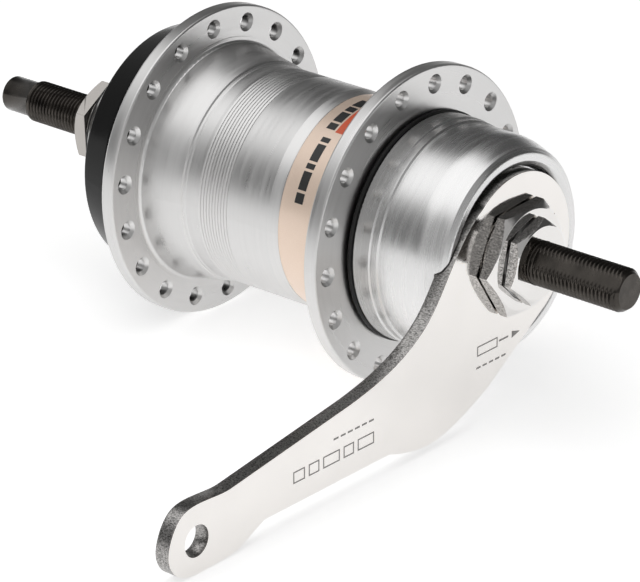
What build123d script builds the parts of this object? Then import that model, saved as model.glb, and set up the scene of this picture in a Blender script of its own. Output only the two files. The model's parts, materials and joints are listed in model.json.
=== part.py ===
"""Bicycle hub gear: a three-speed planetary rear hub with a coaster brake.

All sizes are in millimetres. The axle lies along Y, with the sprocket (drive) side
towards -Y and the brake arm towards +Y. Z is up, X is the bicycle's forward direction,
and the origin is on the axle midway between the two spoke flanges.
Angles in the XZ plane are measured from +X towards +Z, in degrees.
"""
import os
from math import acos, cos, pi, radians, sin, sqrt, tan

from build123d import *

# ---- hub shell ----
FLANGE_FACE = 28.6                # hub centre to each flange's marked face
FLANGE_THICKNESS = 3.3
FLANGE_RADIUS = 34.9
SPOKE_COUNT = 18                  # in each flange
SPOKE_CIRCLE = 31.0
SPOKE_HOLE = 1.45
SPOKE_MOUTH = 2.15                # countersunk mouth on both faces
SPOKE_PHASE_DRIVE = 6.5
SPOKE_PHASE_BRAKE = 16.5          # half a hole pitch on from the drive side
FLANGE_ROUND = 0.5                # on both edges of each flange
BARREL_RADIUS = 24.15
NECK_RADIUS = 26.6                # barrel beside the drive flange
NECK_END = -18.1                  # where the tapered neck drops to the barrel
SHELL_BORE = 21.9
CUP_SEAT_DRIVE = 23.0
CUP_SEAT_BRAKE = 22.6
DRIVE_CUP_END = -19.4             # inner ends of the two ball cups
BRAKE_CUP_START = 23.6
CUP_GAP = 0.1                     # left behind each cup in its seat
GROOVE_COUNT = 10
GROOVE_START = -13.5
GROOVE_PITCH = 0.82
GROOVE_WIDTH = 0.72
GROOVE_DEPTH = 0.14
LABEL_START = 8.6
LABEL_END = 17.3
LABEL_RADIUS = 23.62              # the band lies in a shallow recess
LABEL_THICKNESS = 0.1

# ---- axle ----
AXLE_RADIUS = 4.7625              # 3/8 inch thread, major diameter
AXLE_DRIVE_END = -92.5
AXLE_BRAKE_END = 83.0
NOSE_RADIUS = 4.05                # plain nose that guides the push rod's fitting
NOSE_START = -84.7
THREAD_RELIEF = 1.0               # length of the groove under the drive-side nut's outer face
THREAD_RELIEF_RADIUS = 4.45
FLAT_DISTANCE = 4.0               # axle centre to each locking flat
FLAT_START = 61.3
FLAT_ANGLE = 38.0
ROD_BORE = 2.0
ROD_BORE_END = -9.5
ROD_RADIUS = 1.95

# ---- gear train: fixed sun, four planets, ring gear ----
MODULE = 0.8
SUN_TEETH = 16
PLANET_TEETH = 14
RING_TEETH = 44
PLANET_COUNT = 4
PRESSURE_ANGLE = radians(20)
ADDENDUM = 0.8 * MODULE
DEDENDUM = 1.15 * MODULE
BACKLASH = 0.12                   # taken off a tooth's width at the pitch circle
PLANET_ORBIT = MODULE * (SUN_TEETH + PLANET_TEETH) / 2
PLANET_PIN = 2.0
GEAR_START = -14.0
GEAR_END = -4.6
RING_OUTER = 20.9
RING_START = -25.0
RING_HEAD_END = -19.0             # the drive end, which holds the pawls and the dogs
RING_HEAD_BORE = 14.8
RING_BORE = 16.4                  # before the teeth are cut
CARRIER_HUB = 10.0
CARRIER_PLATE = (-4.3, 1.6)       # the thick plate that holds the pawls
CARRIER_HUB_END = 4.6
CARRIER_POST = 2.4
CARRIER_POST_CIRCLE = 12.8

# ---- clearances ----
RUNNING = 0.05                    # radial, between a shaft and the bore it turns in
SEAT = 0.02                       # radial, between parts clamped together
BALL_CLEARANCE = 0.04

# ---- ball bearings ----
SHELL_BALL_CIRCLE = 19.0
SHELL_BALL = 2.38125              # 3/16 inch balls
SHELL_BALL_COUNT = 14
DRIVE_BALLS = -29.4               # station along the axle
BRAKE_BALLS = 26.4
RACE_RADIUS = 17.6                # inner race before its groove is cut
CUP_BORE = 20.4                   # outer race before its groove is cut
DRIVER_BALL_CIRCLE = 10.6
DRIVER_BALL = 1.984375            # 5/32 inch balls
DRIVER_BALL_COUNT = 9
DRIVER_BALLS = -52.2
CONE_RADIUS = 9.8
CONE_NECK = 8.0                   # outer end of the drive-side cone
DRIVER_CUP_BORE = 11.4

# ---- ratchets and pawls ----
RATCHET_TEETH = 30
RATCHET_TIP = 19.0
RATCHET_ROOT = 20.2
DRIVE_RATCHET_START = -25.4
LOW_RATCHET = (-3.0, 2.2)
PAWL_COUNT = 2
PAWL_BODY = 18.3                  # outer radius of the part that holds the pawls
PIVOT_X = 16.8                    # in a pawl's own frame, +X points out through its tip
PIVOT_Z = 5.0
PIVOT_RADIUS = 1.2
PAWL_FOLD = 15.0                  # degrees from engaged to folded
PAWL_SPRING_SPACE = 0.6           # beside each pawl
DRIVE_PAWLS = (-24.6, -20.4)
LOW_PAWLS = (-2.6, 1.0)

# ---- driver and sliding clutch ----
DRIVER_END = -55.4
DRIVER_CUP_FLOOR = -48.6
DRIVER_NECK = 15.0
DRIVER_RACE = (-32.2, -27.1)
DRIVER_SHOULDER = -44.5           # collar between the neck and the sprocket seat
DRIVER_SHOULDER_RADIUS = 18.6
DRIVER_BUSH = (-42.0, -30.2)      # stretch that runs on the axle
DRIVER_BUSH_RELIEF = 0.6
DRIVER_RING_FLOOR = 16.4          # groove for the snap ring that holds the sprocket
DRIVER_RING_WIDTH = 0.8
DRIVER_LIP = 17.0
DRIVER_INNER_END = -16.9
DRIVER_TUBE_BORE = 10.2
DRIVER_TUBE_OUTER = 12.4
SPROCKET_SEAT_RADIUS = 17.35
SPROCKET_SEAT = (-50.6, -45.6)
SPROCKET_LUG_COUNT = 3
SPROCKET_LUG_WIDTH = 6.0
SPROCKET_LUG_FLOOR = 15.9
CLUTCH_CENTRE = -22.2
CLUTCH_THICKNESS = 3.0
CLUTCH_RADIUS = 9.9
CLUTCH_DOG_COUNT = 4
CLUTCH_DOG_TIP = 14.2
CLUTCH_DOG_WIDTH = 4.0
CLUTCH_TRAVEL = 3.2               # each way from the middle gear
KEY_WIDTH = 2.4
KEY_THICKNESS = 1.6
KEY_REACH = 7.6

# ---- coaster brake ----
DRUM_RADIUS = 20.4
DRUM = (3.0, 23.2)
SHOE_COUNT = 3
SHOE_OUTER = 19.9
SHOE_INNER = 14.8
SHOE_HALF_SPAN = 51.0             # degrees each side of a shoe's centre
SHOE_START = 6.5
SHOE_END = 20.0
SHOE_ANGLE = 90.0                 # direction of the first shoe's centre
SHOE_GROOVE = 17.8                # floor of the groove for the spring ring
SHOE_RING = 10.5                  # station of that ring
ROLLER_RADIUS = 1.75
ROLLER_CIRCLE = 13.0
ROLLER_OFFSET = 30.0              # degrees from a shoe's centre to its rollers
CAM_START = 5.2
CAM_LOBES = 6
CAM_LOW_RADIUS = 10.8
CAM_RISE = 1.08                   # along one whole lobe
CAM_CONTACT = 0.25                # share of the lobe's rise under a roller at rest

# ---- brake cone, cover, arm and nuts ----
CONE_START = 20.6
CONE_BOSS = 9.5
CONE_BOSS_FLAT = 7.75
CONE_THREAD = 8.5
COVER_START = 29.9
COVER_RIM = 24.6
COVER_RADIUS = 24.2
COVER_CREST = 52.6
COVER_SHOULDER = 46.8             # where the side starts to curve in to the crest
COVER_DISH = 18.9
COVER_FLOOR = 49.6
COVER_SHEET = 1.2
ARM_BACK = 50.3
ARM_FRONT = 53.7
ARM_HEAD = 18.0
ARM_CLEARANCE = 0.2               # beside the arm, where it crosses the cover
ARM_CROSSING = ((0, 0), (-9.9, -15.0), (9.0, -27.3), (28.3, -20.0), (28.3, -5.2), (18.9, 7.3),
                (15.5, 10.9), (11.5, 13.9))
ARM_HOLE = (99.3, -27.9)
ARM_HOLE_RADIUS = 3.4
ARM_NUT_END = 57.3
ARM_NUT_FLATS = 22.4
ARM_NUT_ANGLE = 56.5
LOCKNUT_END = 60.3
LOCKNUT_FLATS = 16.5
LOCKNUT_ANGLE = 41.7
DRIVE_NUT = (-65.0, -61.2)
DRIVE_NUT_FLATS = 17.4
DRIVE_NUT_ANGLE = 27.5
NUT_SEAT = 0.4                    # height of the round face under each nut
NUT_LAND = 0.25                   # from a nut's flats in to the ring where its doming starts


# ------------------------------------------------------------------ building blocks

def turned(*corners):
    """Solid of revolution about the axle from (radius, y, corner round) triples."""
    points = [(radius, y) for radius, y, _ in corners]
    rounds = [corner for _, _, corner in corners]
    outline = FilletPolyline(*points, radius=rounds, close=True)
    return revolve(make_face(outline), axis=Axis.Y)


def rod(radius, low, high, x=0.0, z=0.0):
    """Cylinder parallel to the axle between two stations."""
    return Pos(x, (low + high) / 2, z) * Rot(90, 0, 0) * Cylinder(radius, high - low)


def tube(inner, outer, low, high):
    """Plain ring round the axle."""
    return rod(outer, low, high) - rod(inner, low - 1, high + 1)


def slab(outline, low, high):
    """Flat XZ outline given thickness between two stations."""
    return extrude(Plane.XZ.offset(-high) * outline, high - low)


def block(x, y, z):
    """Box from its (low, high) limits on each axis."""
    size = Box(x[1] - x[0], y[1] - y[0], z[1] - z[0])
    return Pos((x[0] + x[1]) / 2, (y[0] + y[1]) / 2, (z[0] + z[1]) / 2) * size


def about_axle(angle):
    """Turn about the axle, from +X towards +Z."""
    return Rot(0, -angle, 0)


def around(count, piece, phase=0.0):
    """Copies of a piece spaced evenly round the axle."""
    return [about_axle(phase + 360 * k / count) * piece for k in range(count)]


def polar(radius, angle):
    """XZ point at a radius and an angle in degrees."""
    return (radius * cos(radians(angle)), radius * sin(radians(angle)))


def polygon(*points):
    """Filled straight-sided outline."""
    return make_face(Polyline(*points, close=True))


def nut(across_flats, bore, low, high, angle, bevel_low):
    """Hexagonal nut on the axle line: corners domed at one face, round seat at the other."""
    face = across_flats / 2 - NUT_LAND
    dome = 2 * face                   # slopes the corners about 30 degrees
    drop = sqrt(dome**2 - face**2)
    hexagon = polygon(*[polar(across_flats / sqrt(3), angle + 60 * k) for k in range(6)])
    if bevel_low:
        body = slab(hexagon, low, high - NUT_SEAT) & Pos(0, low + drop, 0) * Sphere(dome)
        seat = rod(face - NUT_LAND, high - NUT_SEAT, high)
    else:
        body = slab(hexagon, low + NUT_SEAT, high) & Pos(0, high - drop, 0) * Sphere(dome)
        seat = rod(face - NUT_LAND, low, low + NUT_SEAT)
    return body + seat - rod(bore, low - 1, high + 1)


def ball_groove(circle, ball, station):
    """Doughnut that cuts a ball track into a race."""
    return Pos(0, station, 0) * Rot(90, 0, 0) * Torus(circle, ball + BALL_CLEARANCE)


def ball_set(circle, ball, station, count):
    """Loose balls of one bearing, as separate solids."""
    return around(count, Pos(circle, station, 0) * Sphere(ball))


def retainer(circle, ball, station, count, half_width):
    """Ring with ball-shaped pockets that spaces the balls of one bearing."""
    ring = tube(circle - half_width, circle + half_width,
                station + 0.63 * ball, station + 1.26 * ball)
    return ring - ball_set(circle, ball + BALL_CLEARANCE, station, count)


def coil(radius, wire, pitch, low, high):
    """Coil spring round the axle line."""
    path = Helix(pitch, high - low - 2 * wire, radius)
    section = Plane(path @ 0, z_dir=path % 0) * Circle(wire)
    return Pos(0, high - wire, 0) * Rot(90, 0, 0) * sweep(section, path=path)


# ------------------------------------------------------------------ hub shell

def shell_grooves():
    """Profile points of the fine turned grooves round the barrel."""
    points = []
    for k in range(GROOVE_COUNT):
        y = GROOVE_START + k * GROOVE_PITCH
        points.append((BARREL_RADIUS, y, 0))
        points.append((BARREL_RADIUS - GROOVE_DEPTH, y + GROOVE_WIDTH / 2, 0))
        points.append((BARREL_RADIUS, y + GROOVE_WIDTH, 0))
    return points


def spoke_hole(low, high):
    """Cutter for one spoke hole, opened out at both faces."""
    depth = SPOKE_MOUTH - SPOKE_HOLE
    hole = rod(SPOKE_HOLE, low - 1, high + 1, SPOKE_CIRCLE)
    mouth = Rot(90, 0, 0) * Cone(SPOKE_HOLE, SPOKE_MOUTH, depth)
    back_mouth = Rot(-90, 0, 0) * Cone(SPOKE_HOLE, SPOKE_MOUTH, depth)
    low_mouth = Pos(SPOKE_CIRCLE, low + depth / 2, 0) * mouth
    high_mouth = Pos(SPOKE_CIRCLE, high - depth / 2, 0) * back_mouth
    return [hole, low_mouth, high_mouth]


def hub_shell():
    """Barrel with both drilled spoke flanges and the seats for its inner rings."""
    drive_back = -FLANGE_FACE - FLANGE_THICKNESS
    brake_back = FLANGE_FACE - FLANGE_THICKNESS
    shell = turned(
        (CUP_SEAT_DRIVE, drive_back, 0.3),
        (FLANGE_RADIUS, drive_back, FLANGE_ROUND),
        (FLANGE_RADIUS, -FLANGE_FACE, FLANGE_ROUND),
        (NECK_RADIUS + 1.2, -FLANGE_FACE, 0),
        (NECK_RADIUS + 1.2, -FLANGE_FACE + 0.12, 0),
        (NECK_RADIUS, -FLANGE_FACE + 0.12, 0.8),
        (BARREL_RADIUS + 0.6, NECK_END, 0),
        (BARREL_RADIUS + 0.3, NECK_END + 0.3, 0),
        (BARREL_RADIUS + 0.25, NECK_END + 0.8, 0),
        (BARREL_RADIUS + 0.1, NECK_END + 1.1, 0),
        (BARREL_RADIUS, GROOVE_START - 0.8, 0),
        *shell_grooves(),
        (BARREL_RADIUS, LABEL_START - 2.7, 0),
        (LABEL_RADIUS + 0.05, LABEL_START - 0.2, 0),
        (LABEL_RADIUS + 0.05, LABEL_START, 0),
        (LABEL_RADIUS - LABEL_THICKNESS, LABEL_START, 0),
        (LABEL_RADIUS - LABEL_THICKNESS, LABEL_END, 0),
        (LABEL_RADIUS + 0.05, LABEL_END, 0),
        (BARREL_RADIUS, LABEL_END + 2.5, 0),
        (BARREL_RADIUS, brake_back, 1.0),
        (FLANGE_RADIUS, brake_back, FLANGE_ROUND),
        (FLANGE_RADIUS, FLANGE_FACE, FLANGE_ROUND),
        (CUP_SEAT_BRAKE, FLANGE_FACE, 0.3),
        (CUP_SEAT_BRAKE, BRAKE_CUP_START - CUP_GAP, 0),
        (SHELL_BORE, BRAKE_CUP_START - 2 * CUP_GAP, 0),
        (SHELL_BORE, DRIVE_CUP_END + 2 * CUP_GAP, 0),
        (CUP_SEAT_DRIVE, DRIVE_CUP_END + CUP_GAP, 0),
    )
    holes = []
    for cutter in spoke_hole(drive_back, -FLANGE_FACE):
        holes += around(SPOKE_COUNT, cutter, SPOKE_PHASE_DRIVE)
    for cutter in spoke_hole(brake_back, FLANGE_FACE):
        holes += around(SPOKE_COUNT, cutter, SPOKE_PHASE_BRAKE)
    return shell - holes


def label_band():
    """Thin coloured band let into the barrel."""
    return tube(LABEL_RADIUS - LABEL_THICKNESS, LABEL_RADIUS, LABEL_START, LABEL_END)


def ratchet_outline():
    """Inner outline of a ratchet ring; its steep faces stop a forward-turning pawl."""
    points = []
    for k in range(RATCHET_TEETH):
        angle = 360 * k / RATCHET_TEETH
        points += [polar(RATCHET_TIP, angle), polar(RATCHET_ROOT, angle)]
    return polygon(*points)


def drive_side_ball_cup():
    """Outer race of the drive-side shell bearing with the ring gear's ratchet inside."""
    back = -FLANGE_FACE - FLANGE_THICKNESS
    cup = tube(CUP_BORE, CUP_SEAT_DRIVE - SEAT, back, DRIVE_CUP_END)
    ratchet = tube(RATCHET_TIP - 1, CUP_SEAT_DRIVE - 1, DRIVE_RATCHET_START, DRIVE_CUP_END)
    ratchet -= slab(ratchet_outline(), DRIVE_RATCHET_START - 1, DRIVE_CUP_END + 1)
    return cup - ball_groove(SHELL_BALL_CIRCLE, SHELL_BALL, DRIVE_BALLS) + ratchet


def brake_side_ball_cup():
    """Outer race of the brake-side shell bearing."""
    cup = tube(CUP_BORE, CUP_SEAT_BRAKE - SEAT, BRAKE_CUP_START, FLANGE_FACE)
    return cup - ball_groove(SHELL_BALL_CIRCLE, SHELL_BALL, BRAKE_BALLS)


def low_gear_ratchet():
    """Ratchet ring pressed into the barrel for the planet carrier's pawls."""
    low, high = LOW_RATCHET
    return rod(SHELL_BORE - SEAT, low, high) - slab(ratchet_outline(), low - 1, high + 1)


def brake_drum():
    """Steel liner that the brake shoes press against."""
    return tube(DRUM_RADIUS, SHELL_BORE - SEAT, *DRUM)


# ------------------------------------------------------------------ axle group

def axle():
    """Threaded axle, bored for the push rod and slotted for its key."""
    body = turned(
        (0, AXLE_DRIVE_END, 0),
        (NOSE_RADIUS, AXLE_DRIVE_END, 0.6),
        (NOSE_RADIUS, NOSE_START, 0),
        (AXLE_RADIUS, NOSE_START + 0.7, 0),
        (AXLE_RADIUS, DRIVE_NUT[0], 0),
        (THREAD_RELIEF_RADIUS, DRIVE_NUT[0], 0),
        (THREAD_RELIEF_RADIUS, DRIVE_NUT[0] + THREAD_RELIEF, 0),
        (AXLE_RADIUS, DRIVE_NUT[0] + THREAD_RELIEF, 0),
        (AXLE_RADIUS, AXLE_BRAKE_END, 1.1),
        (0, AXLE_BRAKE_END, 0),
    )
    body -= rod(ROD_BORE, AXLE_DRIVE_END - 1, ROD_BORE_END)
    slot_reach = CLUTCH_TRAVEL + KEY_THICKNESS / 2 + 0.2
    body -= block((-10, 10), (CLUTCH_CENTRE - slot_reach, CLUTCH_CENTRE + slot_reach),
                  (-KEY_WIDTH / 2 - 0.1, KEY_WIDTH / 2 + 0.1))
    flat = block((FLAT_DISTANCE, 10), (FLAT_START, AXLE_BRAKE_END + 1), (-10, 10))
    return body - around(2, flat, FLAT_ANGLE)


def push_rod():
    """Rod that the gear cable's bell crank pushes along the bored axle."""
    return rod(ROD_RADIUS, AXLE_DRIVE_END + 1, CLUTCH_CENTRE - KEY_THICKNESS / 2)


def axle_key():
    """Cross key that carries the rod's push out through the axle slot to the clutch."""
    half_length = KEY_REACH - 0.4
    return block((-half_length, half_length),
                 (CLUTCH_CENTRE - KEY_THICKNESS / 2, CLUTCH_CENTRE + KEY_THICKNESS / 2),
                 (-KEY_WIDTH / 2, KEY_WIDTH / 2))


def rod_return_spring():
    """Spring that pushes the key and rod back towards the drive side."""
    return coil(1.4, 0.3, 1.5, CLUTCH_CENTRE + KEY_THICKNESS / 2 + 0.1, ROD_BORE_END - 0.1)


def drive_side_cone():
    """Inner race of the driver's bearing, with spanner flats on its neck."""
    cone = turned(
        (AXLE_RADIUS + SEAT, DRIVER_CUP_FLOOR - 0.6, 0),
        (CONE_RADIUS, DRIVER_CUP_FLOOR - 0.6, 0.4),
        (CONE_RADIUS, DRIVER_END + 0.4, 0.4),
        (CONE_NECK, DRIVER_END - 0.4, 0),
        (CONE_NECK, DRIVE_NUT[1], 0.3),
        (AXLE_RADIUS + SEAT, DRIVE_NUT[1], 0),
    )
    cone -= ball_groove(DRIVER_BALL_CIRCLE, DRIVER_BALL, DRIVER_BALLS)
    flat = block((7.0, 12), (DRIVE_NUT[1] - 1, DRIVE_NUT[1] + 3), (-12, 12))
    return cone - around(2, flat, DRIVE_NUT_ANGLE)


def drive_side_cone_seal():
    """Rubber shield that closes the open end of the driver."""
    return turned(
        (CONE_NECK + SEAT, DRIVER_END - 0.5, 0),
        (13.2, DRIVER_END - 0.5, 0.4),
        (13.2, DRIVER_END - 1.9, 0.4),
        (CONE_NECK + SEAT, DRIVER_END - 1.9, 0),
    )


def drive_side_locknut():
    """Bright hexagonal nut that locks the drive-side cone."""
    return nut(DRIVE_NUT_FLATS, AXLE_RADIUS + SEAT, *DRIVE_NUT, DRIVE_NUT_ANGLE, True)


def brake_cone():
    """Fixed inner race of the brake side, which anchors the shoes and carries the arm."""
    cone = turned(
        (AXLE_RADIUS + SEAT, CONE_START, 0),
        (17.2, CONE_START, 0.3),
        (RACE_RADIUS, CONE_START + 2.4, 0),
        (RACE_RADIUS, FLANGE_FACE + 0.6, 0.4),
        (12.0, FLANGE_FACE + 2.0, 1.0),
        (12.0, COVER_FLOOR - COVER_SHEET, 0),
        (CONE_BOSS, COVER_FLOOR - COVER_SHEET, 0),
        (CONE_BOSS, ARM_FRONT, 0),
        (CONE_THREAD, ARM_FRONT, 0),
        (CONE_THREAD, ARM_NUT_END - 0.1, 0.4),
        (AXLE_RADIUS + SEAT, ARM_NUT_END - 0.1, 0),
    )
    cone -= ball_groove(SHELL_BALL_CIRCLE, SHELL_BALL, BRAKE_BALLS)
    flat = block((CONE_BOSS_FLAT, 12), (COVER_FLOOR + 0.1, ARM_FRONT), (-12, 12))
    cone -= around(2, flat)
    lug = block((15.2, 18.6), (SHOE_START + 10, CONE_START + 1), (-1.5, 1.5))
    bridge = block((13.0, 17.0), (CONE_START, CONE_START + 1), (-1.5, 1.5))
    gap_phase = SHOE_ANGLE + 180 / SHOE_COUNT
    return cone + around(SHOE_COUNT, lug + bridge, gap_phase)


def cover_seal():
    """Black rubber ring between the turning flange and the fixed cover."""
    return turned(
        (22.8, FLANGE_FACE + 0.3, 0.2),
        (25.3, FLANGE_FACE + 0.3, 0.45),
        (25.3, COVER_START, 0.45),
        (22.8, COVER_START, 0.2),
    )


def arm_room(clearance, low, high):
    """Space for the arm where it crosses the cover's crest, between two stations."""
    outline = offset(polygon(*ARM_CROSSING), clearance, kind=Kind.INTERSECTION)
    return slab(outline, low, high)


def cover_hollow():
    """Space under the cover's sheet, less a trough as thick as the sheet under the arm."""
    inside = COVER_RADIUS - COVER_SHEET
    hollow = turned(
        (0, COVER_START - 1, 0),
        (inside, COVER_START - 1, 0),
        (inside, COVER_SHOULDER - 0.2, 8.0),
        (COVER_DISH + 2.6, COVER_CREST - COVER_SHEET - 0.4, 0),
        (COVER_DISH + 2.2, COVER_CREST - COVER_SHEET, 0),
        (COVER_DISH + COVER_SHEET + 0.2, COVER_CREST - COVER_SHEET, 0),
        (COVER_DISH + COVER_SHEET, COVER_CREST - COVER_SHEET - 0.3, 0),
        (COVER_DISH + COVER_SHEET, COVER_FLOOR - COVER_SHEET, 0.3),
        (0, COVER_FLOOR - COVER_SHEET, 0),
    )
    return hollow - arm_room(ARM_CLEARANCE + COVER_SHEET, ARM_BACK - SEAT - COVER_SHEET,
                             COVER_CREST)


def brake_cover():
    """Pressed sheet cover: stepped rim, round shoulder, dished face and a step for the arm."""
    cover = turned(
        (CONE_BOSS + SEAT, COVER_FLOOR, 0),
        (COVER_DISH - 0.3, COVER_FLOOR, 0.5),
        (COVER_DISH, COVER_CREST - 0.8, 0.6),
        (COVER_DISH + 1.1, COVER_CREST, 0.6),
        (COVER_DISH + 2.7, COVER_CREST, 0.8),
        (COVER_DISH + 3.7, COVER_CREST - 1.0, 0),
        (COVER_RADIUS, COVER_SHOULDER, 10.0),
        (COVER_RADIUS, 36.5, 0),
        (COVER_RIM, 36.2, 0),
        (COVER_RIM, 34.6, 0),
        (COVER_RIM + 0.3, 34.3, 0),
        (COVER_RIM + 0.3, COVER_START, 0.5),
        (CONE_BOSS + SEAT, COVER_START, 0),
    )
    cover -= cover_hollow()
    return cover - arm_room(ARM_CLEARANCE, ARM_BACK - SEAT, COVER_CREST + 1)


def arm_spacer():
    """Washer between the cover's dished face and the arm."""
    return tube(CONE_BOSS + SEAT, 14.0, COVER_FLOOR, ARM_BACK)


def arm_outline():
    """Lever seen from the brake side: round head, tapering shank and spade tip."""
    upper = Spline((11.5, 13.85), (18.8, 7.2), (23.2, 1.2), (28.3, -5.2), (34.6, -9.7),
                   (42.5, -12.9), (53.4, -15.3))
    upper_edge = Line((53.4, -15.3), (89.5, -20.4))
    tip = Spline((89.5, -20.4), (98.2, -20.1), (103.2, -21.0), (106.6, -25.2), (107.3, -29.6),
                 (105.0, -33.4), (100.6, -35.0), (94.5, -35.0), (87.2, -34.3), (82.6, -32.3),
                 (79.5, -30.9))
    lower_edge = Line((79.5, -30.9), (41.0, -30.9))
    belly = Spline((41.0, -30.9), (33.0, -33.0), (26.7, -33.3), (20.1, -31.9), (9.0, -27.3))
    under_head = Line((9.0, -27.3), (-9.9, -15.0))
    chord = Line((-9.9, -15.0), (11.5, 13.85))
    lever = make_face([upper, upper_edge, tip, lower_edge, belly, under_head, chord])
    return lever + Circle(ARM_HEAD)


def brake_arm():
    """Flat lever that takes the brake's reaction to the bicycle frame."""
    key_hole = Circle(CONE_BOSS + SEAT) & Rectangle(2 * (CONE_BOSS_FLAT + SEAT), 30)
    tip_hole = Pos(*ARM_HOLE) * Circle(ARM_HOLE_RADIUS)
    return slab(arm_outline() - key_hole - tip_hole, ARM_BACK, ARM_FRONT)


def arm_nut():
    """Large thin hexagonal nut that holds the arm on the brake cone."""
    return nut(ARM_NUT_FLATS, CONE_THREAD + SEAT, ARM_FRONT, ARM_NUT_END, ARM_NUT_ANGLE, False)


def brake_side_locknut():
    """Smaller thin nut that locks the brake cone on the axle."""
    return nut(LOCKNUT_FLATS, AXLE_RADIUS + SEAT, ARM_NUT_END, LOCKNUT_END, LOCKNUT_ANGLE, False)


# ------------------------------------------------------------------ driver and clutch

def driver():
    """Sprocket carrier: turns on the axle and drives the clutch through its slots."""
    seat_low, seat_high = SPROCKET_SEAT
    race_low, race_high = DRIVER_RACE
    bush_low, bush_high = DRIVER_BUSH
    lip = seat_low - DRIVER_RING_WIDTH
    body = turned(
        (DRIVER_TUBE_BORE, DRIVER_INNER_END, 0),
        (DRIVER_TUBE_OUTER, DRIVER_INNER_END, 0),
        (DRIVER_TUBE_OUTER, race_high, 0.5),
        (RACE_RADIUS, race_high, 0.3),
        (RACE_RADIUS, race_low, 0.3),
        (DRIVER_NECK, race_low, 0),
        (DRIVER_NECK, DRIVER_SHOULDER, 0),
        (DRIVER_SHOULDER_RADIUS, DRIVER_SHOULDER, 0.3),
        (DRIVER_SHOULDER_RADIUS, seat_high, 0.3),
        (SPROCKET_SEAT_RADIUS, seat_high, 0),
        (SPROCKET_SEAT_RADIUS, seat_low, 0),
        (DRIVER_RING_FLOOR, seat_low, 0),
        (DRIVER_RING_FLOOR, lip, 0),
        (DRIVER_LIP, lip, 0.3),
        (DRIVER_LIP, lip - 1.0, 0.3),
        (DRIVER_LIP - 2.4, DRIVER_END, 0.5),
        (DRIVER_CUP_BORE, DRIVER_END, 0.3),
        (DRIVER_CUP_BORE, DRIVER_CUP_FLOOR, 0.3),
        (AXLE_RADIUS + DRIVER_BUSH_RELIEF, DRIVER_CUP_FLOOR, 0),
        (AXLE_RADIUS + DRIVER_BUSH_RELIEF, bush_low, 0),
        (AXLE_RADIUS + RUNNING, bush_low, 0),
        (AXLE_RADIUS + RUNNING, bush_high, 0),
        (DRIVER_TUBE_BORE, bush_high, 0.5),
    )
    body -= ball_groove(SHELL_BALL_CIRCLE, SHELL_BALL, DRIVE_BALLS)
    body -= ball_groove(DRIVER_BALL_CIRCLE, DRIVER_BALL, DRIVER_BALLS)
    lug_slot = block((SPROCKET_LUG_FLOOR, 20), (seat_low - 3, seat_high),
                     (-SPROCKET_LUG_WIDTH / 2, SPROCKET_LUG_WIDTH / 2))
    body -= around(SPROCKET_LUG_COUNT, lug_slot, 30)
    half_slot = CLUTCH_DOG_WIDTH / 2 + 0.1
    clutch_slot = block((8, 13), (-27.6, DRIVER_INNER_END + 1), (-half_slot, half_slot))
    return body - around(CLUTCH_DOG_COUNT, clutch_slot)


def driver_dust_cap():
    """Black domed cap between the drive-side flange and the sprocket seat."""
    return turned(
        (DRIVER_NECK + SEAT, -44.4, 0),
        (27.2, -44.4, 1.0),
        (30.0, -36.0, 3.0),
        (30.0, -32.3, 0.4),
        (28.6, -32.3, 0.2),
        (28.6, -36.0, 2.0),
        (25.9, -43.0, 0.6),
        (DRIVER_NECK + SEAT, -43.0, 0),
    )


def sliding_clutch():
    """Four-armed ring that slides along the driver's slots to pick the gear."""
    low = CLUTCH_CENTRE - CLUTCH_THICKNESS / 2
    high = CLUTCH_CENTRE + CLUTCH_THICKNESS / 2
    key_room = KEY_THICKNESS / 2 + 0.05
    ring = tube(AXLE_RADIUS + 0.4, CLUTCH_RADIUS, low, high)
    ring -= rod(KEY_REACH + 0.3, CLUTCH_CENTRE - key_room, CLUTCH_CENTRE + key_room)
    dog = block((CLUTCH_RADIUS - 1, CLUTCH_DOG_TIP), (low, high),
                (-CLUTCH_DOG_WIDTH / 2, CLUTCH_DOG_WIDTH / 2))
    return ring + around(CLUTCH_DOG_COUNT, dog)


# ------------------------------------------------------------------ planetary gears

def involute(angle):
    """Involute function of a pressure angle in radians."""
    return tan(angle) - angle


def gear_outline(teeth, low, high, width, phase):
    """Gear outline between a low and a high radius; width is the tooth at pitch radius."""
    pitch_radius = MODULE * teeth / 2
    base = pitch_radius * cos(PRESSURE_ANGLE)
    flank_start = max(low, base + 0.001)

    def flank(radius, side, centre):
        """Point on one side of a tooth at a radius."""
        opening = involute(acos(base / radius)) - involute(PRESSURE_ANGLE)
        half = width / 2 / pitch_radius - opening
        return polar(radius, centre + side * half * 180 / pi)

    def foot(side, centre):
        """Point on the root circle straight below the flank's start."""
        x, z = flank(flank_start, side, centre)
        return (x * low / flank_start, z * low / flank_start)

    edges = []
    middle = (flank_start + high) / 2
    pitch = 360 / teeth
    for k in range(teeth):
        centre = phase + k * pitch
        if flank_start > low:
            edges.append(Line(foot(-1, centre), flank(flank_start, -1, centre)))
            edges.append(Line(flank(flank_start, 1, centre), foot(1, centre)))
        for side in (-1, 1):
            edges.append(ThreePointArc(flank(flank_start, side, centre),
                                       flank(middle, side, centre), flank(high, side, centre)))
        edges.append(ThreePointArc(flank(high, -1, centre), polar(high, centre),
                                   flank(high, 1, centre)))
        edges.append(ThreePointArc(foot(1, centre), polar(low, centre + pitch / 2),
                                   foot(-1, centre + pitch)))
    return make_face(edges)


def outer_gear(teeth, phase):
    """Outline of the sun or of a planet."""
    pitch_radius = MODULE * teeth / 2
    width = pi * MODULE / 2 - BACKLASH
    return gear_outline(teeth, pitch_radius - DEDENDUM, pitch_radius + ADDENDUM, width, phase)


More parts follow.
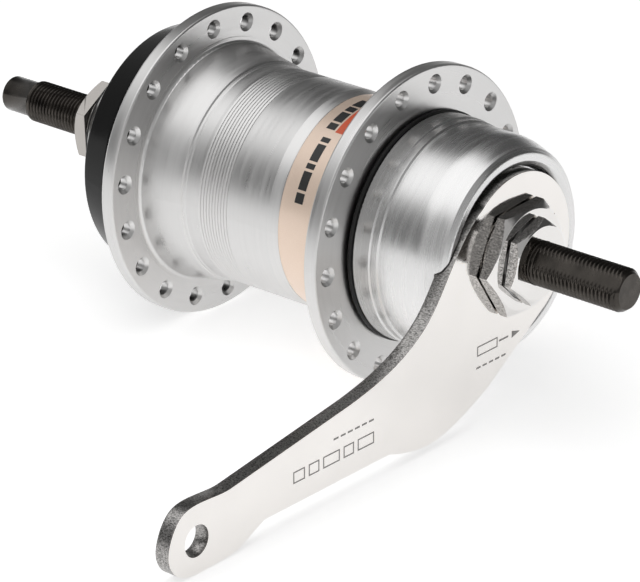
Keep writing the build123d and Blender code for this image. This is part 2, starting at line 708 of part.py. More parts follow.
def sun_gear():
    """Sun fixed on the axle, one tooth pointing at each planet."""
    return slab(outer_gear(SUN_TEETH, 0), GEAR_START, GEAR_END) - rod(
        AXLE_RADIUS + SEAT, GEAR_START - 1, GEAR_END + 1)


def planet_gear(index):
    """One planet, with a tooth space facing the sun and another facing the ring."""
    gear = slab(outer_gear(PLANET_TEETH, 180 / PLANET_TEETH), GEAR_START, GEAR_END)
    gear -= rod(PLANET_PIN + RUNNING, GEAR_START - 1, GEAR_END + 1)
    return about_axle(360 * index / PLANET_COUNT) * Pos(PLANET_ORBIT, 0, 0) * gear


def planet_pins():
    """Steel pins that the planets turn on."""
    pin = rod(PLANET_PIN, GEAR_START - 2.8, -1.4, PLANET_ORBIT)
    return around(PLANET_COUNT, pin)


def pawl_fixture(radius):
    """Round seat for a pawl's pivot."""
    return Pos(PIVOT_X, PIVOT_Z) * Circle(radius)


def pawl(low, high, fold):
    """Pawl in its own frame, folded inwards by an angle about its pivot."""
    finger = polygon((RATCHET_ROOT - 0.3, 0.55), (18.0, 0.55), (15.9, 4.5), (17.7, 5.6))
    blank = slab(finger + pawl_fixture(PIVOT_RADIUS), low, high)
    pivot = Pos(PIVOT_X, 0, PIVOT_Z)
    return pivot * about_axle(-fold) * pivot.inverse() * blank


def pawl_pocket(low, high):
    """Cutter for the room one pawl and its spring need in the part that holds them."""
    room = polygon((RATCHET_ROOT + 1, -1.2), (16.2, -1.2), (15.4, 4.2), (RATCHET_ROOT + 1, 6.4))
    return slab(room + pawl_fixture(PIVOT_RADIUS + RUNNING), low, high + PAWL_SPRING_SPACE)


def pawl_spring(high):
    """Wire loop round the pivot line, beside the pawl, with a leg along the finger."""
    wire = 0.2
    station = high + PAWL_SPRING_SPACE / 2
    loop = Pos(PIVOT_X, station, PIVOT_Z) * Rot(90, 0, 0) * Torus(0.8, wire)
    leg = Pos(PIVOT_X + 0.3, station, PIVOT_Z - 2.4) * Cylinder(wire, 3.2)
    return loop + leg


def ring_gear():
    """Internal gear with drive dogs and two pawl pockets at its drive end."""
    pitch_radius = MODULE * RING_TEETH / 2
    width = pi * MODULE / 2 + BACKLASH
    spaces = gear_outline(RING_TEETH, pitch_radius - ADDENDUM, pitch_radius + DEDENDUM, width,
                          180 / RING_TEETH)
    body = turned(
        (RING_HEAD_BORE, RING_START, 0),
        (PAWL_BODY, RING_START, 0.3),
        (PAWL_BODY, RING_HEAD_END, 0.5),
        (RING_OUTER, RING_HEAD_END + 0.6, 0.3),
        (RING_OUTER, GEAR_END, 0.3),
        (RING_BORE, GEAR_END, 0),
        (RING_BORE, RING_HEAD_END, 0),
        (RING_HEAD_BORE, RING_HEAD_END, 0),
    )
    body -= slab(spaces, GEAR_START - 0.3, GEAR_END + 1)
    body -= around(PAWL_COUNT, pawl_pocket(*DRIVE_PAWLS))
    face = -CLUTCH_DOG_WIDTH / 2 - 0.1
    dog = block((RING_HEAD_BORE - 1.8, RING_HEAD_BORE + 0.6),
                (RING_START + 0.5, RING_HEAD_END - 0.2), (face - 2.0, face))
    return body + around(CLUTCH_DOG_COUNT, dog)


def planet_carrier():
    """Cage of two plates and four posts that holds the planets and the low-gear pawls."""
    drive_plate = tube(7.5, 15.6, GEAR_START - 2.6, GEAR_START - 0.3)
    brake_plate = tube(AXLE_RADIUS + RUNNING, PAWL_BODY, *CARRIER_PLATE)
    brake_plate -= around(PAWL_COUNT, pawl_pocket(*LOW_PAWLS))
    hub = tube(AXLE_RADIUS + RUNNING, CARRIER_HUB, CARRIER_PLATE[1] - 0.6, CARRIER_HUB_END)
    post = rod(CARRIER_POST, GEAR_START - 1, GEAR_END + 1, CARRIER_POST_CIRCLE)
    carrier = drive_plate + brake_plate + hub
    carrier += around(PLANET_COUNT, post, 180 / PLANET_COUNT)
    pin_hole = rod(PLANET_PIN + SEAT, GEAR_START - 3, -1.3, PLANET_ORBIT)
    return carrier - around(PLANET_COUNT, pin_hole)


# ------------------------------------------------------------------ coaster brake

def cam_outline():
    """Six ramps that lift the rollers as the cam turns backwards."""
    edges = []
    span = 360 / CAM_LOBES
    step_angle = SHOE_ANGLE - ROLLER_OFFSET + CAM_CONTACT * span
    for k in range(CAM_LOBES):
        end = step_angle + k * span
        ramp = [polar(CAM_LOW_RADIUS + CAM_RISE * share, end - share * span)
                for share in (1, 0.67, 0.33, 0)]
        edges.append(Spline(*ramp))
        edges.append(Line(polar(CAM_LOW_RADIUS, end), polar(CAM_LOW_RADIUS + CAM_RISE, end)))
    return make_face(edges)


def brake_cam():
    """Cam that the planet carrier turns backwards to apply the brake."""
    bore = rod(AXLE_RADIUS + RUNNING, CAM_START - 1, SHOE_END + 1)
    return slab(cam_outline(), CAM_START, SHOE_END) - bore


def cam_clutch_spring():
    """Coil that grips the carrier's hub when it turns backwards and takes the cam with it."""
    wire = 0.45
    return coil(CARRIER_HUB + wire + 0.3, wire, 1.1, CARRIER_PLATE[1] + 0.2, CAM_START - 0.1)


def shoe_place(index):
    """Direction of one shoe's centre."""
    return about_axle(SHOE_ANGLE + 360 * index / SHOE_COUNT)


def brake_shoe(index):
    """Curved friction shoe, grooved for the ring that pulls the shoes in."""
    wedge = polygon((0, 0), polar(60, -SHOE_HALF_SPAN), (60, 0), polar(60, SHOE_HALF_SPAN))
    shoe = tube(SHOE_INNER, SHOE_OUTER, SHOE_START, SHOE_END) & slab(wedge, SHOE_START, SHOE_END)
    shoe -= tube(SHOE_GROOVE, SHOE_OUTER + 1, SHOE_RING - 0.8, SHOE_RING + 0.8)
    return shoe_place(index) * shoe


def shoe_rollers(index):
    """Two rollers that ride between the cam and one shoe."""
    rollers = [about_axle(side * ROLLER_OFFSET)
               * rod(ROLLER_RADIUS, SHOE_START, SHOE_END, ROLLER_CIRCLE) for side in (-1, 1)]
    return [shoe_place(index) * roller for roller in rollers]


def shoe_spring_ring():
    """Split wire ring in the shoes' groove."""
    ring = Pos(0, SHOE_RING, 0) * Rot(90, 0, 0) * Torus(SHOE_GROOVE + 1.15, 0.5)
    gap = block((15, 22), (SHOE_START, SHOE_END), (-1, 1))
    return ring - about_axle(SHOE_ANGLE + 180 / SHOE_COUNT) * gap


# ------------------------------------------------------------------ assembly

def bearing_nodes():
    """Balls and retainers of the three bearings, by node name."""
    nodes = {}
    shell = (SHELL_BALL_CIRCLE, SHELL_BALL)
    driver_race = (DRIVER_BALL_CIRCLE, DRIVER_BALL)
    for name, sizes, station, count, half_width in (
            ("drive_side", shell, DRIVE_BALLS, SHELL_BALL_COUNT, 0.9),
            ("brake_side", shell, BRAKE_BALLS, SHELL_BALL_COUNT, 0.9),
            ("driver", driver_race, DRIVER_BALLS, DRIVER_BALL_COUNT, 0.6)):
        nodes[name + "_balls"] = ball_set(*sizes, station, count)
        nodes[name + "_ball_retainer"] = retainer(*sizes, station, count, half_width)
    return nodes


def all_nodes():
    """Every sub-part by name."""
    nodes = {
        "hub_shell": hub_shell(),
        "label_band": label_band(),
        "drive_side_ball_cup": drive_side_ball_cup(),
        "brake_side_ball_cup": brake_side_ball_cup(),
        "low_gear_ratchet": low_gear_ratchet(),
        "brake_drum": brake_drum(),
        "axle": axle(),
        "push_rod": push_rod(),
        "axle_key": axle_key(),
        "rod_return_spring": rod_return_spring(),
        "drive_side_cone": drive_side_cone(),
        "drive_side_cone_seal": drive_side_cone_seal(),
        "drive_side_locknut": drive_side_locknut(),
        "brake_cone": brake_cone(),
        "cover_seal": cover_seal(),
        "brake_cover": brake_cover(),
        "arm_spacer": arm_spacer(),
        "brake_arm": brake_arm(),
        "arm_nut": arm_nut(),
        "brake_side_locknut": brake_side_locknut(),
        "driver": driver(),
        "driver_dust_cap": driver_dust_cap(),
        "sliding_clutch": sliding_clutch(),
        "sun_gear": sun_gear(),
        "ring_gear": ring_gear(),
        "planet_carrier": planet_carrier(),
        "planet_pins": planet_pins(),
        "brake_cam": brake_cam(),
        "cam_clutch_spring": cam_clutch_spring(),
        "shoe_spring_ring": shoe_spring_ring(),
        "ring_pawl_springs": around(PAWL_COUNT, pawl_spring(DRIVE_PAWLS[1])),
        "carrier_pawl_springs": around(PAWL_COUNT, pawl_spring(LOW_PAWLS[1])),
    }
    nodes.update(bearing_nodes())
    for k in range(PLANET_COUNT):
        nodes[f"planet_gear_{k + 1}"] = planet_gear(k)
    for k in range(PAWL_COUNT):
        turn = about_axle(360 * k / PAWL_COUNT)
        nodes[f"ring_pawl_{k + 1}"] = turn * pawl(*DRIVE_PAWLS, 0)
        nodes[f"carrier_pawl_{k + 1}"] = turn * pawl(*LOW_PAWLS, PAWL_FOLD)
    for k in range(SHOE_COUNT):
        nodes[f"brake_shoe_{k + 1}"] = brake_shoe(k)
        nodes[f"shoe_rollers_{k + 1}"] = shoe_rollers(k)
    return nodes


def main():
    """Write one STEP file for each node."""
    os.makedirs("parts", exist_ok=True)
    for name, shape in all_nodes().items():
        solids = Compound(shape) if isinstance(shape, list) else shape
        export_step(solids, f"parts/{name}.step")


main()
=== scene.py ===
"""Looks of the bicycle hub gear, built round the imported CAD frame. Lengths are in metres."""

import json
from math import cos, pi, radians, sin

import bpy
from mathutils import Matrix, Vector


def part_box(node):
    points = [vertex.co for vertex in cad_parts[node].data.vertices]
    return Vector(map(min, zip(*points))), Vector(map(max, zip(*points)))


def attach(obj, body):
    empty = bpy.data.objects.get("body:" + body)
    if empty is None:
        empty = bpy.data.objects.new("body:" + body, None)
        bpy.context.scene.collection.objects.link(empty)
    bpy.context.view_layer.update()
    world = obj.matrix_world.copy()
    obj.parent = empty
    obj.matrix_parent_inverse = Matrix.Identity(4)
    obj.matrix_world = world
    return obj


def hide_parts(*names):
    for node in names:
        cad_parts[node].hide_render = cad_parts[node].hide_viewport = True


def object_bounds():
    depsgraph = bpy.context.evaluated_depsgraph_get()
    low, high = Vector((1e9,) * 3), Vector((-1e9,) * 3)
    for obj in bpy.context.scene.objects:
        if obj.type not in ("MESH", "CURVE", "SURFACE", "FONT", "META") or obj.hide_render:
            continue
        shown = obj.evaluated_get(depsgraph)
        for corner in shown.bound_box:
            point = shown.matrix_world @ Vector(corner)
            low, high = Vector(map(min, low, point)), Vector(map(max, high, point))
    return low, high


MM = 0.001

# ---- camera: the angle, distance and lens of a long product shot ----
CAMERA_AZIMUTH = radians(130.57)   # 0 looks along +Y
CAMERA_ELEVATION = radians(23.60)
CAMERA_DISTANCE = 0.861
CAMERA_AIM = Vector((0.0064, 0.0055, -0.0197))
CAMERA_LENS = 224.5                # on the default 36 mm sensor
CAMERA_REACH = 20.0

# ---- light tent ----
WALL_LEVEL = 0.40
SKY_PATCHES = (                    # towards, full within and gone beyond (degrees), level
    ((-0.65, -0.45, 0.60), 24, 36, 0.08),
    ((-0.70, 0.50, 0.45), 26, 38, 0.07),
    ((0.75, -0.65, 0.15), 12, 24, 0.17),
    ((0.25, -0.20, 0.95), 26, 40, 1.35),
)
FLOOR_GLOW = 0.6
FLOOR_RADIUS = 3.0
FLOOR_SIDES = 48

# ---- axle, as in the CAD ----
AXLE_RADIUS = 4.7625 * MM
NOSE_RADIUS = 4.05 * MM
NOSE_ROUND = 0.6 * MM
NOSE_START = -84.7 * MM
BRAKE_CHAMFER = 0.95 * MM
BRAKE_CHAMFER_SLOPE = 0.8
ROD_BORE = 2.0 * MM
ROD_BORE_END = -9.5 * MM
FLAT_DISTANCE = 4.0 * MM
FLAT_START = 61.3 * MM
FLAT_ANGLE = radians(38)
FLAT_STEP = 0.02 * MM              # between the two rings at the flats' sharp ends
THREAD_PITCH = 25.4 / 26 * MM
THREAD_DEPTH = 0.55 * MM
THREAD_CREST_FLAT = 0.14           # shares of the pitch
THREAD_ROOT_FLAT = 0.12
THREAD_SHARP = radians(50)         # smooth shading below this angle
DRIVE_THREAD = (-84.0 * MM, -64.2 * MM)
BRAKE_THREAD = (59.5 * MM, 84.0 * MM)
KEY_SLOT = (-26.6 * MM, -17.8 * MM)
KEY_SLOT_WIDTH = 2.6 * MM
KEY_SLOT_REACH = 1.5 * AXLE_RADIUS
AXLE_SIDES = 96
NOSE_ROWS = 6
ROWS_PER_PITCH = 10

# ---- printed bars on the label: angles in degrees up from +X, and their line along the axle ----
LABEL_RADIUS = 23.62 * MM
PRINT_THICKNESS = 0.03 * MM
PRINT_LIFT = 0.1 * PRINT_THICKNESS
PRINT_STEP = radians(1.0)
DARK_BARS = ((19.0, 24.5), (26.0, 36.0), (37.5, 40.5), (42.0, 52.0), (53.5, 56.5))
DARK_BAR_LINE = (12.1 * MM, 14.3 * MM)
SECOND_BARS = ((62.0, 66.5), (68.0, 76.0), (77.5, 82.0), (83.5, 92.0))
SECOND_BAR_LINE = (11.2 * MM, 13.5 * MM)
RED_BAR = (61.0, 96.0)
RED_BAR_LINE = (14.0 * MM, 16.2 * MM)

# ---- stamped marks on the arm, drawn as raised strokes in painted shade: boxes, dashes and an arrow, in millimetres along X and Z ----
ARM_FACE = 53.7 * MM
ARM_MARK_HEIGHT = 0.03 * MM
ARM_MARK_LIFT = 0.1 * ARM_MARK_HEIGHT
ARM_MARK_STROKE = 0.28 * MM
TIP_BOXES = ((45.9, 51.0), (52.2, 55.4), (56.6, 61.7), (62.9, 66.1), (67.3, 70.8))
TIP_BOX_LINE = (-26.4, -23.8)
DASH_ROWS = (                      # first X, spacing, length, count, line in Z
    (46.0, 2.2, 1.5, 6, (-21.3, -20.9)),
    (3.0, 2.1, 1.4, 5, (-21.7, -21.3)),
)
SIGN_BOX = ((5.8, 12.6), (-18.9, -16.6))
SIGN_STEM = ((2.2, 5.3), (-17.9, -17.5))
SIGN_ARROW = ((-1.7, -17.7), (1.0, -16.9), (1.0, -18.5))

# ---- looks ----
STREAK_TURN = 1.5 * MM             # how far a streak pattern moves on round the axle
NODE_LOOKS = {"drive_side_locknut": "smooth_nut", "arm_nut": "stamped_nut",
              "brake_side_locknut": "stamped_nut"}   # unlike the rest of their slot
EDGE_ROUND = 0.2 * MM
SOFT_NODES = ("brake_arm", "arm_nut", "brake_side_locknut", "drive_side_locknut")


# ------------------------------------------------------------------ node helpers

def add(tree, kind, inputs=None, **settings):
    """Makes a shader node, sets its options, and sets or links its inputs."""
    made = tree.nodes.new(kind)
    for option, value in settings.items():
        setattr(made, option, value)
    for key, value in (inputs or {}).items():
        if isinstance(value, bpy.types.NodeSocket):
            tree.links.new(value, made.inputs[key])
        else:
            made.inputs[key].default_value = value
    return made


def math(tree, operation, first, second=0.0):
    """One arithmetic node."""
    return add(tree, "ShaderNodeMath", {0: first, 1: second}, operation=operation).outputs[0]


def blend(tree, factor, first, second):
    """Mix of two colours."""
    made = add(tree, "ShaderNodeMix", {0: factor, 6: first, 7: second}, data_type="RGBA")
    return made.outputs[2]


def ramp(tree, factor, low, high, from_low=0.0, from_high=1.0):
    """Straight-line remap of a value, clamped."""
    made = add(tree, "ShaderNodeMapRange",
               {0: factor, 1: from_low, 2: from_high, 3: low, 4: high})
    return made.outputs[0]


def place(tree):
    """Position in the object's own frame, in metres."""
    return add(tree, "ShaderNodeTexCoord").outputs["Object"]


def noise(tree, scale, detail=3.0, where=None, roughness=0.55):
    """Noise value at a number of features per metre."""
    where = place(tree) if where is None else where
    made = add(tree, "ShaderNodeTexNoise",
               {"Vector": where, "Scale": scale, "Detail": detail, "Roughness": roughness})
    return made.outputs["Fac"]


def round_the_axle(tree):
    """Distance from the axle, the position along it, and the two parts of the outward direction."""
    parts = add(tree, "ShaderNodeSeparateXYZ", {0: place(tree)})
    x, y, z = parts.outputs[0], parts.outputs[1], parts.outputs[2]
    radius = math(tree, "SQRT", math(tree, "ADD", math(tree, "MULTIPLY", x, x),
                                     math(tree, "MULTIPLY", z, z)))
    return radius, y, math(tree, "DIVIDE", x, radius), math(tree, "DIVIDE", z, radius)


def lathe_place(tree):
    """Coordinates that only change along the axle and away from it, for turning marks."""
    radius, along, _, _ = round_the_axle(tree)
    return add(tree, "ShaderNodeCombineXYZ", {0: radius, 1: along}).outputs[0]


def streak_place(tree):
    """Coordinates that change fast along a turned profile and slowly round the axle."""
    radius, along, outward_x, outward_z = round_the_axle(tree)
    joined = add(tree, "ShaderNodeCombineXYZ",
                 {0: math(tree, "SUBTRACT", along, radius),
                  1: math(tree, "MULTIPLY", outward_x, STREAK_TURN),
                  2: math(tree, "MULTIPLY", outward_z, STREAK_TURN)})
    return joined.outputs[0]


def new_material(name, **sockets):
    """Material with one Principled shader; spaces in keyword names stand as underscores."""
    material = bpy.data.materials.new(name)
    material.use_nodes = True
    tree = material.node_tree
    shader = tree.nodes["Principled BSDF"]
    for key, value in sockets.items():
        shader.inputs[key.replace("_", " ")].default_value = value
    return material, tree, shader


def feed(tree, shader, **links):
    """Links values into the Principled shader."""
    for key, value in links.items():
        tree.links.new(value, shader.inputs[key.replace("_", " ")])


def bump(tree, height, strength, distance, normal=None):
    """Bump node output."""
    inputs = {"Strength": strength, "Distance": distance, "Height": height}
    if normal is not None:
        inputs["Normal"] = normal
    return add(tree, "ShaderNodeBump", inputs).outputs[0]


def grey(value, warmth=0.0):
    """Near-neutral colour."""
    return (value * (1 + warmth), value, value * (1 - warmth), 1.0)


# ------------------------------------------------------------------ materials

def turned_metal(name, tone, rough, anisotropy, line_depth, warmth=0.0, streak_depth=0.0):
    """Lathe-turned metal: fine rings and wider smeared streaks round the axle."""
    material, tree, shader = new_material(name, Metallic=1.0, Anisotropic=anisotropy)
    rings = noise(tree, 5000.0, detail=4.0, where=lathe_place(tree))
    streaks = noise(tree, 900.0, detail=5.0, where=streak_place(tree))
    clouds = noise(tree, 60.0, detail=4.0)
    wear = math(tree, "ADD", math(tree, "MULTIPLY", streaks, 0.6),
                math(tree, "MULTIPLY", math(tree, "ADD", rings, clouds), 0.2))
    wide = bump(tree, streaks, 0.35, streak_depth)
    feed(tree, shader,
         Base_Color=blend(tree, wear, grey(tone[0], warmth), grey(tone[1], warmth)),
         Roughness=ramp(tree, wear, *rough, 0.35, 0.65),
         Normal=bump(tree, rings, 0.35, line_depth, wide),
         Tangent=add(tree, "ShaderNodeTangent", direction_type="RADIAL", axis="Y").outputs[0])
    return material


def polished_metal(name, tone, rough, warmth=0.0, ripple=2e-5):
    """Plated, polished metal with faint scratches, smears and slight ripples."""
    material, tree, shader = new_material(name, Metallic=1.0)
    smears = noise(tree, 90.0, detail=5.0)
    scratch_place = add(tree, "ShaderNodeMapping",
                        {"Vector": place(tree), "Rotation": (0.0, 0.35, 0.0),
                         "Scale": (0.06, 1.0, 1.6)}).outputs[0]
    scratches = noise(tree, 2600.0, detail=3.0, where=scratch_place)
    ripples = noise(tree, 55.0, detail=1.0)
    first = bump(tree, ripples, 0.25, ripple * 12)
    feed(tree, shader,
         Base_Color=blend(tree, smears, grey(tone[0], warmth), grey(tone[1], warmth)),
         Roughness=ramp(tree, math(tree, "MULTIPLY", smears, scratches), *rough, 0.15, 0.4),
         Normal=bump(tree, scratches, 0.12, ripple, first))
    return material


def sheared_edges(material, dark, cover, rough, grain, depth):
    """Gives the side faces of a stamped plate or nut a torn, granular surface, darker in spots."""
    tree = material.node_tree
    shader = tree.nodes["Principled BSDF"]
    normal = add(tree, "ShaderNodeTexCoord").outputs["Normal"]
    along = add(tree, "ShaderNodeSeparateXYZ", {0: normal}).outputs[1]
    side = ramp(tree, math(tree, "ABSOLUTE", along), 1.0, 0.0, 0.25, 0.75)
    grain_place = add(tree, "ShaderNodeMapping",
                      {"Vector": place(tree), "Scale": (1.0, 0.45, 1.0)}).outputs[0]
    grains = noise(tree, grain, detail=5.0, where=grain_place)
    mask = math(tree, "MULTIPLY", side, ramp(tree, grains, *cover, 0.35, 0.65))
    colour = shader.inputs["Base Color"].links[0].from_socket
    roughness = shader.inputs["Roughness"].links[0].from_socket
    normal_in = shader.inputs["Normal"].links[0].from_socket
    height = math(tree, "MULTIPLY", grains, side)
    feed(tree, shader,
         Base_Color=blend(tree, mask, colour, grey(dark)),
         Roughness=math(tree, "ADD", math(tree, "MULTIPLY", side, rough), roughness),
         Normal=bump(tree, height, 0.5, depth, normal_in))
    return material


def black_oxide():
    """Oiled black-oxide steel with a brown-grey bloom in random patches."""
    material, tree, shader = new_material("black_oxide_steel", Metallic=0.85)
    patches = noise(tree, 300.0, detail=5.0)
    grain = noise(tree, 6000.0, detail=2.0)
    feed(tree, shader,
         Base_Color=blend(tree, patches, grey(0.010, 0.12), grey(0.095, 0.12)),
         Roughness=ramp(tree, patches, 0.13, 0.30, 0.3, 0.7),
         Normal=bump(tree, grain, 0.12, 1.5e-5))
    return material


def moulded_black(name, tone, rough, grain_depth, gloss):
    """Moulded black plastic or rubber with a fine grain and faint scuffs."""
    material, tree, shader = new_material(name, Specular_IOR_Level=gloss)
    grain = noise(tree, 4500.0, detail=2.0)
    scuffs = noise(tree, 140.0, detail=6.0)
    feed(tree, shader,
         Base_Color=blend(tree, scuffs, grey(tone), grey(tone * 1.8)),
         Roughness=ramp(tree, scuffs, *rough, 0.3, 0.7),
         Normal=bump(tree, grain, 0.2, grain_depth))
    return material


def label_paint():
    """Champagne metallic paint with fine flake, on the turned band."""
    material, tree, shader = new_material("label_champagne", Metallic=0.35, Coat_Weight=0.4,
                                          Coat_Roughness=0.15)
    flake = noise(tree, 9000.0, detail=1.0)
    rings = noise(tree, 3500.0, detail=3.0, where=lathe_place(tree))
    feed(tree, shader,
         Base_Color=blend(tree, flake, (0.80, 0.61, 0.49, 1), (0.92, 0.76, 0.63, 1)),
         Roughness=ramp(tree, rings, 0.30, 0.42, 0.3, 0.7),
         Normal=bump(tree, rings, 0.2, 1e-5))
    return material


def ink_and_painted_shade(name, first, second):
    """Flat colour with slightly uneven cover: printed ink on the label, painted shade on the arm's
    stamped marks.
    """
    material, tree, shader = new_material(name)
    cover = noise(tree, 2500.0, detail=3.0)
    feed(tree, shader,
         Base_Color=blend(tree, cover, first, second),
         Roughness=ramp(tree, cover, 0.35, 0.5))
    return material


def turned_aluminium():
    """Hub shell: silvery, blurred along its turning marks."""
    return turned_metal("turned_aluminium", tone=(0.57, 0.75), rough=(0.26, 0.40),
                        anisotropy=0.55, line_depth=6e-6, warmth=0.008, streak_depth=2e-5)


def satin_chrome():
    """Brake cover: plated over smeared polishing streaks."""
    return turned_metal("satin_chrome", tone=(0.58, 0.84), rough=(0.20, 0.32),
                        anisotropy=0.45, line_depth=4e-6, warmth=0.004, streak_depth=5e-5)


def hardened_steel():
    """Gears, pawls, cups and other inner steel parts."""
    return turned_metal("hardened_steel", tone=(0.34, 0.46), rough=(0.25, 0.42),
                        anisotropy=0.2, line_depth=4e-6)


def plated_steel():
    """Zinc-plated parts."""
    return turned_metal("plated_steel", tone=(0.50, 0.62), rough=(0.28, 0.40),
                        anisotropy=0.2, line_depth=4e-6, warmth=0.03)


def bright_chrome():
    """Brake arm: mirror faces with torn, granular edges."""
    plate = polished_metal("bright_chrome", tone=(0.74, 0.84), rough=(0.06, 0.16), warmth=0.03)
    return sheared_edges(plate, dark=0.045, cover=(0.35, 0.95), rough=0.22, grain=5200.0,
                         depth=5e-5)


def stamped_nut():
    """Thin brake-side nuts: chrome faces with granular flats."""
    plate = polished_metal("stamped_nut", tone=(0.70, 0.80), rough=(0.05, 0.12), warmth=0.02)
    return sheared_edges(plate, dark=0.05, cover=(0.0, 0.75), rough=0.12, grain=4200.0,
                         depth=6e-5)


def smooth_nut():
    """Drive-side locknut: smooth grey plating."""
    return polished_metal("smooth_nut", tone=(0.36, 0.46), rough=(0.12, 0.24), warmth=0.05)


def ball_steel():
    """Bearing balls."""
    return polished_metal("ball_steel", tone=(0.62, 0.72), rough=(0.04, 0.10))


def spring_steel():
    """Springs: dark drawn wire."""
    return polished_metal("spring_steel", tone=(0.22, 0.32), rough=(0.22, 0.36))


def black_rubber():
    """Seals: matt black."""
    return moulded_black("black_rubber", tone=0.006, rough=(0.36, 0.52), grain_depth=3e-5,
                         gloss=0.3)


def black_plastic():
    """Dust cap: deep black with a soft shine."""
    return moulded_black("black_plastic", tone=0.002, rough=(0.14, 0.24), grain_depth=6e-6,
                         gloss=0.08)


def all_materials():
    """A finished material for each slot of the record, then the looks of single nodes."""
    return {
        "turned_aluminium": turned_aluminium(),
        "label_paint": label_paint(),
        "black_steel": black_oxide(),
        "bright_chrome": bright_chrome(),
        "satin_chrome": satin_chrome(),
        "hardened_steel": hardened_steel(),
        "ball_steel": ball_steel(),
        "plated_steel": plated_steel(),
        "spring_steel": spring_steel(),
        "black_rubber": black_rubber(),
        "black_plastic": black_plastic(),
        "smooth_nut": smooth_nut(),
        "stamped_nut": stamped_nut(),
        # the arm marks' dark grey is painted shade in place of the stamped grooves
        "stamped_mark_painted_shade": ink_and_painted_shade("stamped_mark_painted_shade", grey(0.16, 0.04), grey(0.30, 0.04)),
    }


# ------------------------------------------------------------------ mesh helpers

# corners counted with the last axis changing fastest
BOX_FACES = ((0, 1, 3, 2), (4, 6, 7, 5), (0, 4, 5, 1), (2, 3, 7, 6), (0, 2, 6, 4), (1, 5, 7, 3))
WEDGE_FACES = ((0, 2, 4), (1, 5, 3), (0, 1, 3, 2), (2, 3, 5, 4), (4, 5, 1, 0))


def mesh_object(name, vertices, faces, material, sharp=radians(40)):
    """Object from plain lists, smooth but for its sharp edges."""
    mesh = bpy.data.meshes.new(name)
    mesh.from_pydata(vertices, [], faces)
    mesh.validate()
    mesh.polygons.foreach_set("use_smooth", [True] * len(mesh.polygons))
    mesh.set_sharp_from_angle(angle=sharp)
    mesh.materials.append(material)
    made = bpy.data.objects.new(name, mesh)
    bpy.context.scene.collection.objects.link(made)
    return made


def box_mesh(name, x, y, z):
    """Plain box used as a cutter."""
    corners = [(a, b, c) for a in x for b in y for c in z]
    mesh = bpy.data.meshes.new(name)
    mesh.from_pydata(corners, [], BOX_FACES)
    made = bpy.data.objects.new(name, mesh)
    bpy.context.scene.collection.objects.link(made)
    return made


def apply_modifiers(piece):
    """Replaces a piece's mesh by what its modifiers make of it."""
    graph = bpy.context.evaluated_depsgraph_get()
    finished = bpy.data.meshes.new_from_object(piece.evaluated_get(graph))
    piece.modifiers.clear()
    piece.data = finished


def cut(piece, cutter):
    """Cuts one mesh out of another for good."""
    modifier = piece.modifiers.new("cut", "BOOLEAN")
    modifier.operation = "DIFFERENCE"
    modifier.solver = "EXACT"
    modifier.object = cutter
    apply_modifiers(piece)
    bpy.data.objects.remove(cutter)


def soften(node, width, sharp=radians(30), segments=2):
    """Small rounds on the edges of a CAD node, as a modifier."""
    weld = node.modifiers.new("weld", "WELD")
    weld.merge_threshold = 1e-6
    rounding = node.modifiers.new("edge_rounds", "BEVEL")
    rounding.width = width
    rounding.segments = segments
    rounding.limit_method = "ANGLE"
    rounding.angle_limit = sharp
    rounding.harden_normals = True


# ------------------------------------------------------------------ threaded axle

def thread_cut(y, angle):
    """Depth of the thread below the major diameter, fading in at each run-out."""
    for low, high in (DRIVE_THREAD, BRAKE_THREAD):
        if low < y < high:
            turn = (y / THREAD_PITCH - angle / (2 * pi)) % 1.0
            ridge = abs(2 * turn - 1)
            fade = min(1.0, (y - low) / THREAD_PITCH, (high - y) / THREAD_PITCH)
            flank = 1 - THREAD_CREST_FLAT - THREAD_ROOT_FLAT
            return THREAD_DEPTH * fade * min(1.0, max(0.0, (ridge - THREAD_CREST_FLAT) / flank))
    return 0.0


def axle_radius(y, angle, start, end):
    """Outer radius of the axle at a station and angle."""
    if y < NOSE_START:
        rise = max(0.0, NOSE_ROUND - (y - start))
        return NOSE_RADIUS - NOSE_ROUND + (NOSE_ROUND ** 2 - rise ** 2) ** 0.5
    shoulder = NOSE_RADIUS + (y - NOSE_START)
    chamfer = AXLE_RADIUS - BRAKE_CHAMFER + (end - y) * BRAKE_CHAMFER_SLOPE
    radius = min(AXLE_RADIUS - thread_cut(y, angle), shoulder, chamfer)
    facing = abs(cos(angle - FLAT_ANGLE))
    if y > FLAT_START and facing > FLAT_DISTANCE / AXLE_RADIUS:
        radius = min(radius, FLAT_DISTANCE / facing)
    return radius


def axle_stations(start, end):
    """Stations of the axle's rings: close together where there is thread."""
    step = THREAD_PITCH / ROWS_PER_PITCH
    stations = [start + NOSE_ROUND * (1 - cos(k * pi / (2 * NOSE_ROWS)))
                for k in range(NOSE_ROWS + 1)]
    for low, high in ((NOSE_START, DRIVE_THREAD[1] + step), (BRAKE_THREAD[0] - step, end)):
        count = int((high - low) / step)
        stations += [low + (high - low) * k / count for k in range(count + 1)]
    return sorted(set(stations + [FLAT_START, FLAT_START + FLAT_STEP, end]))


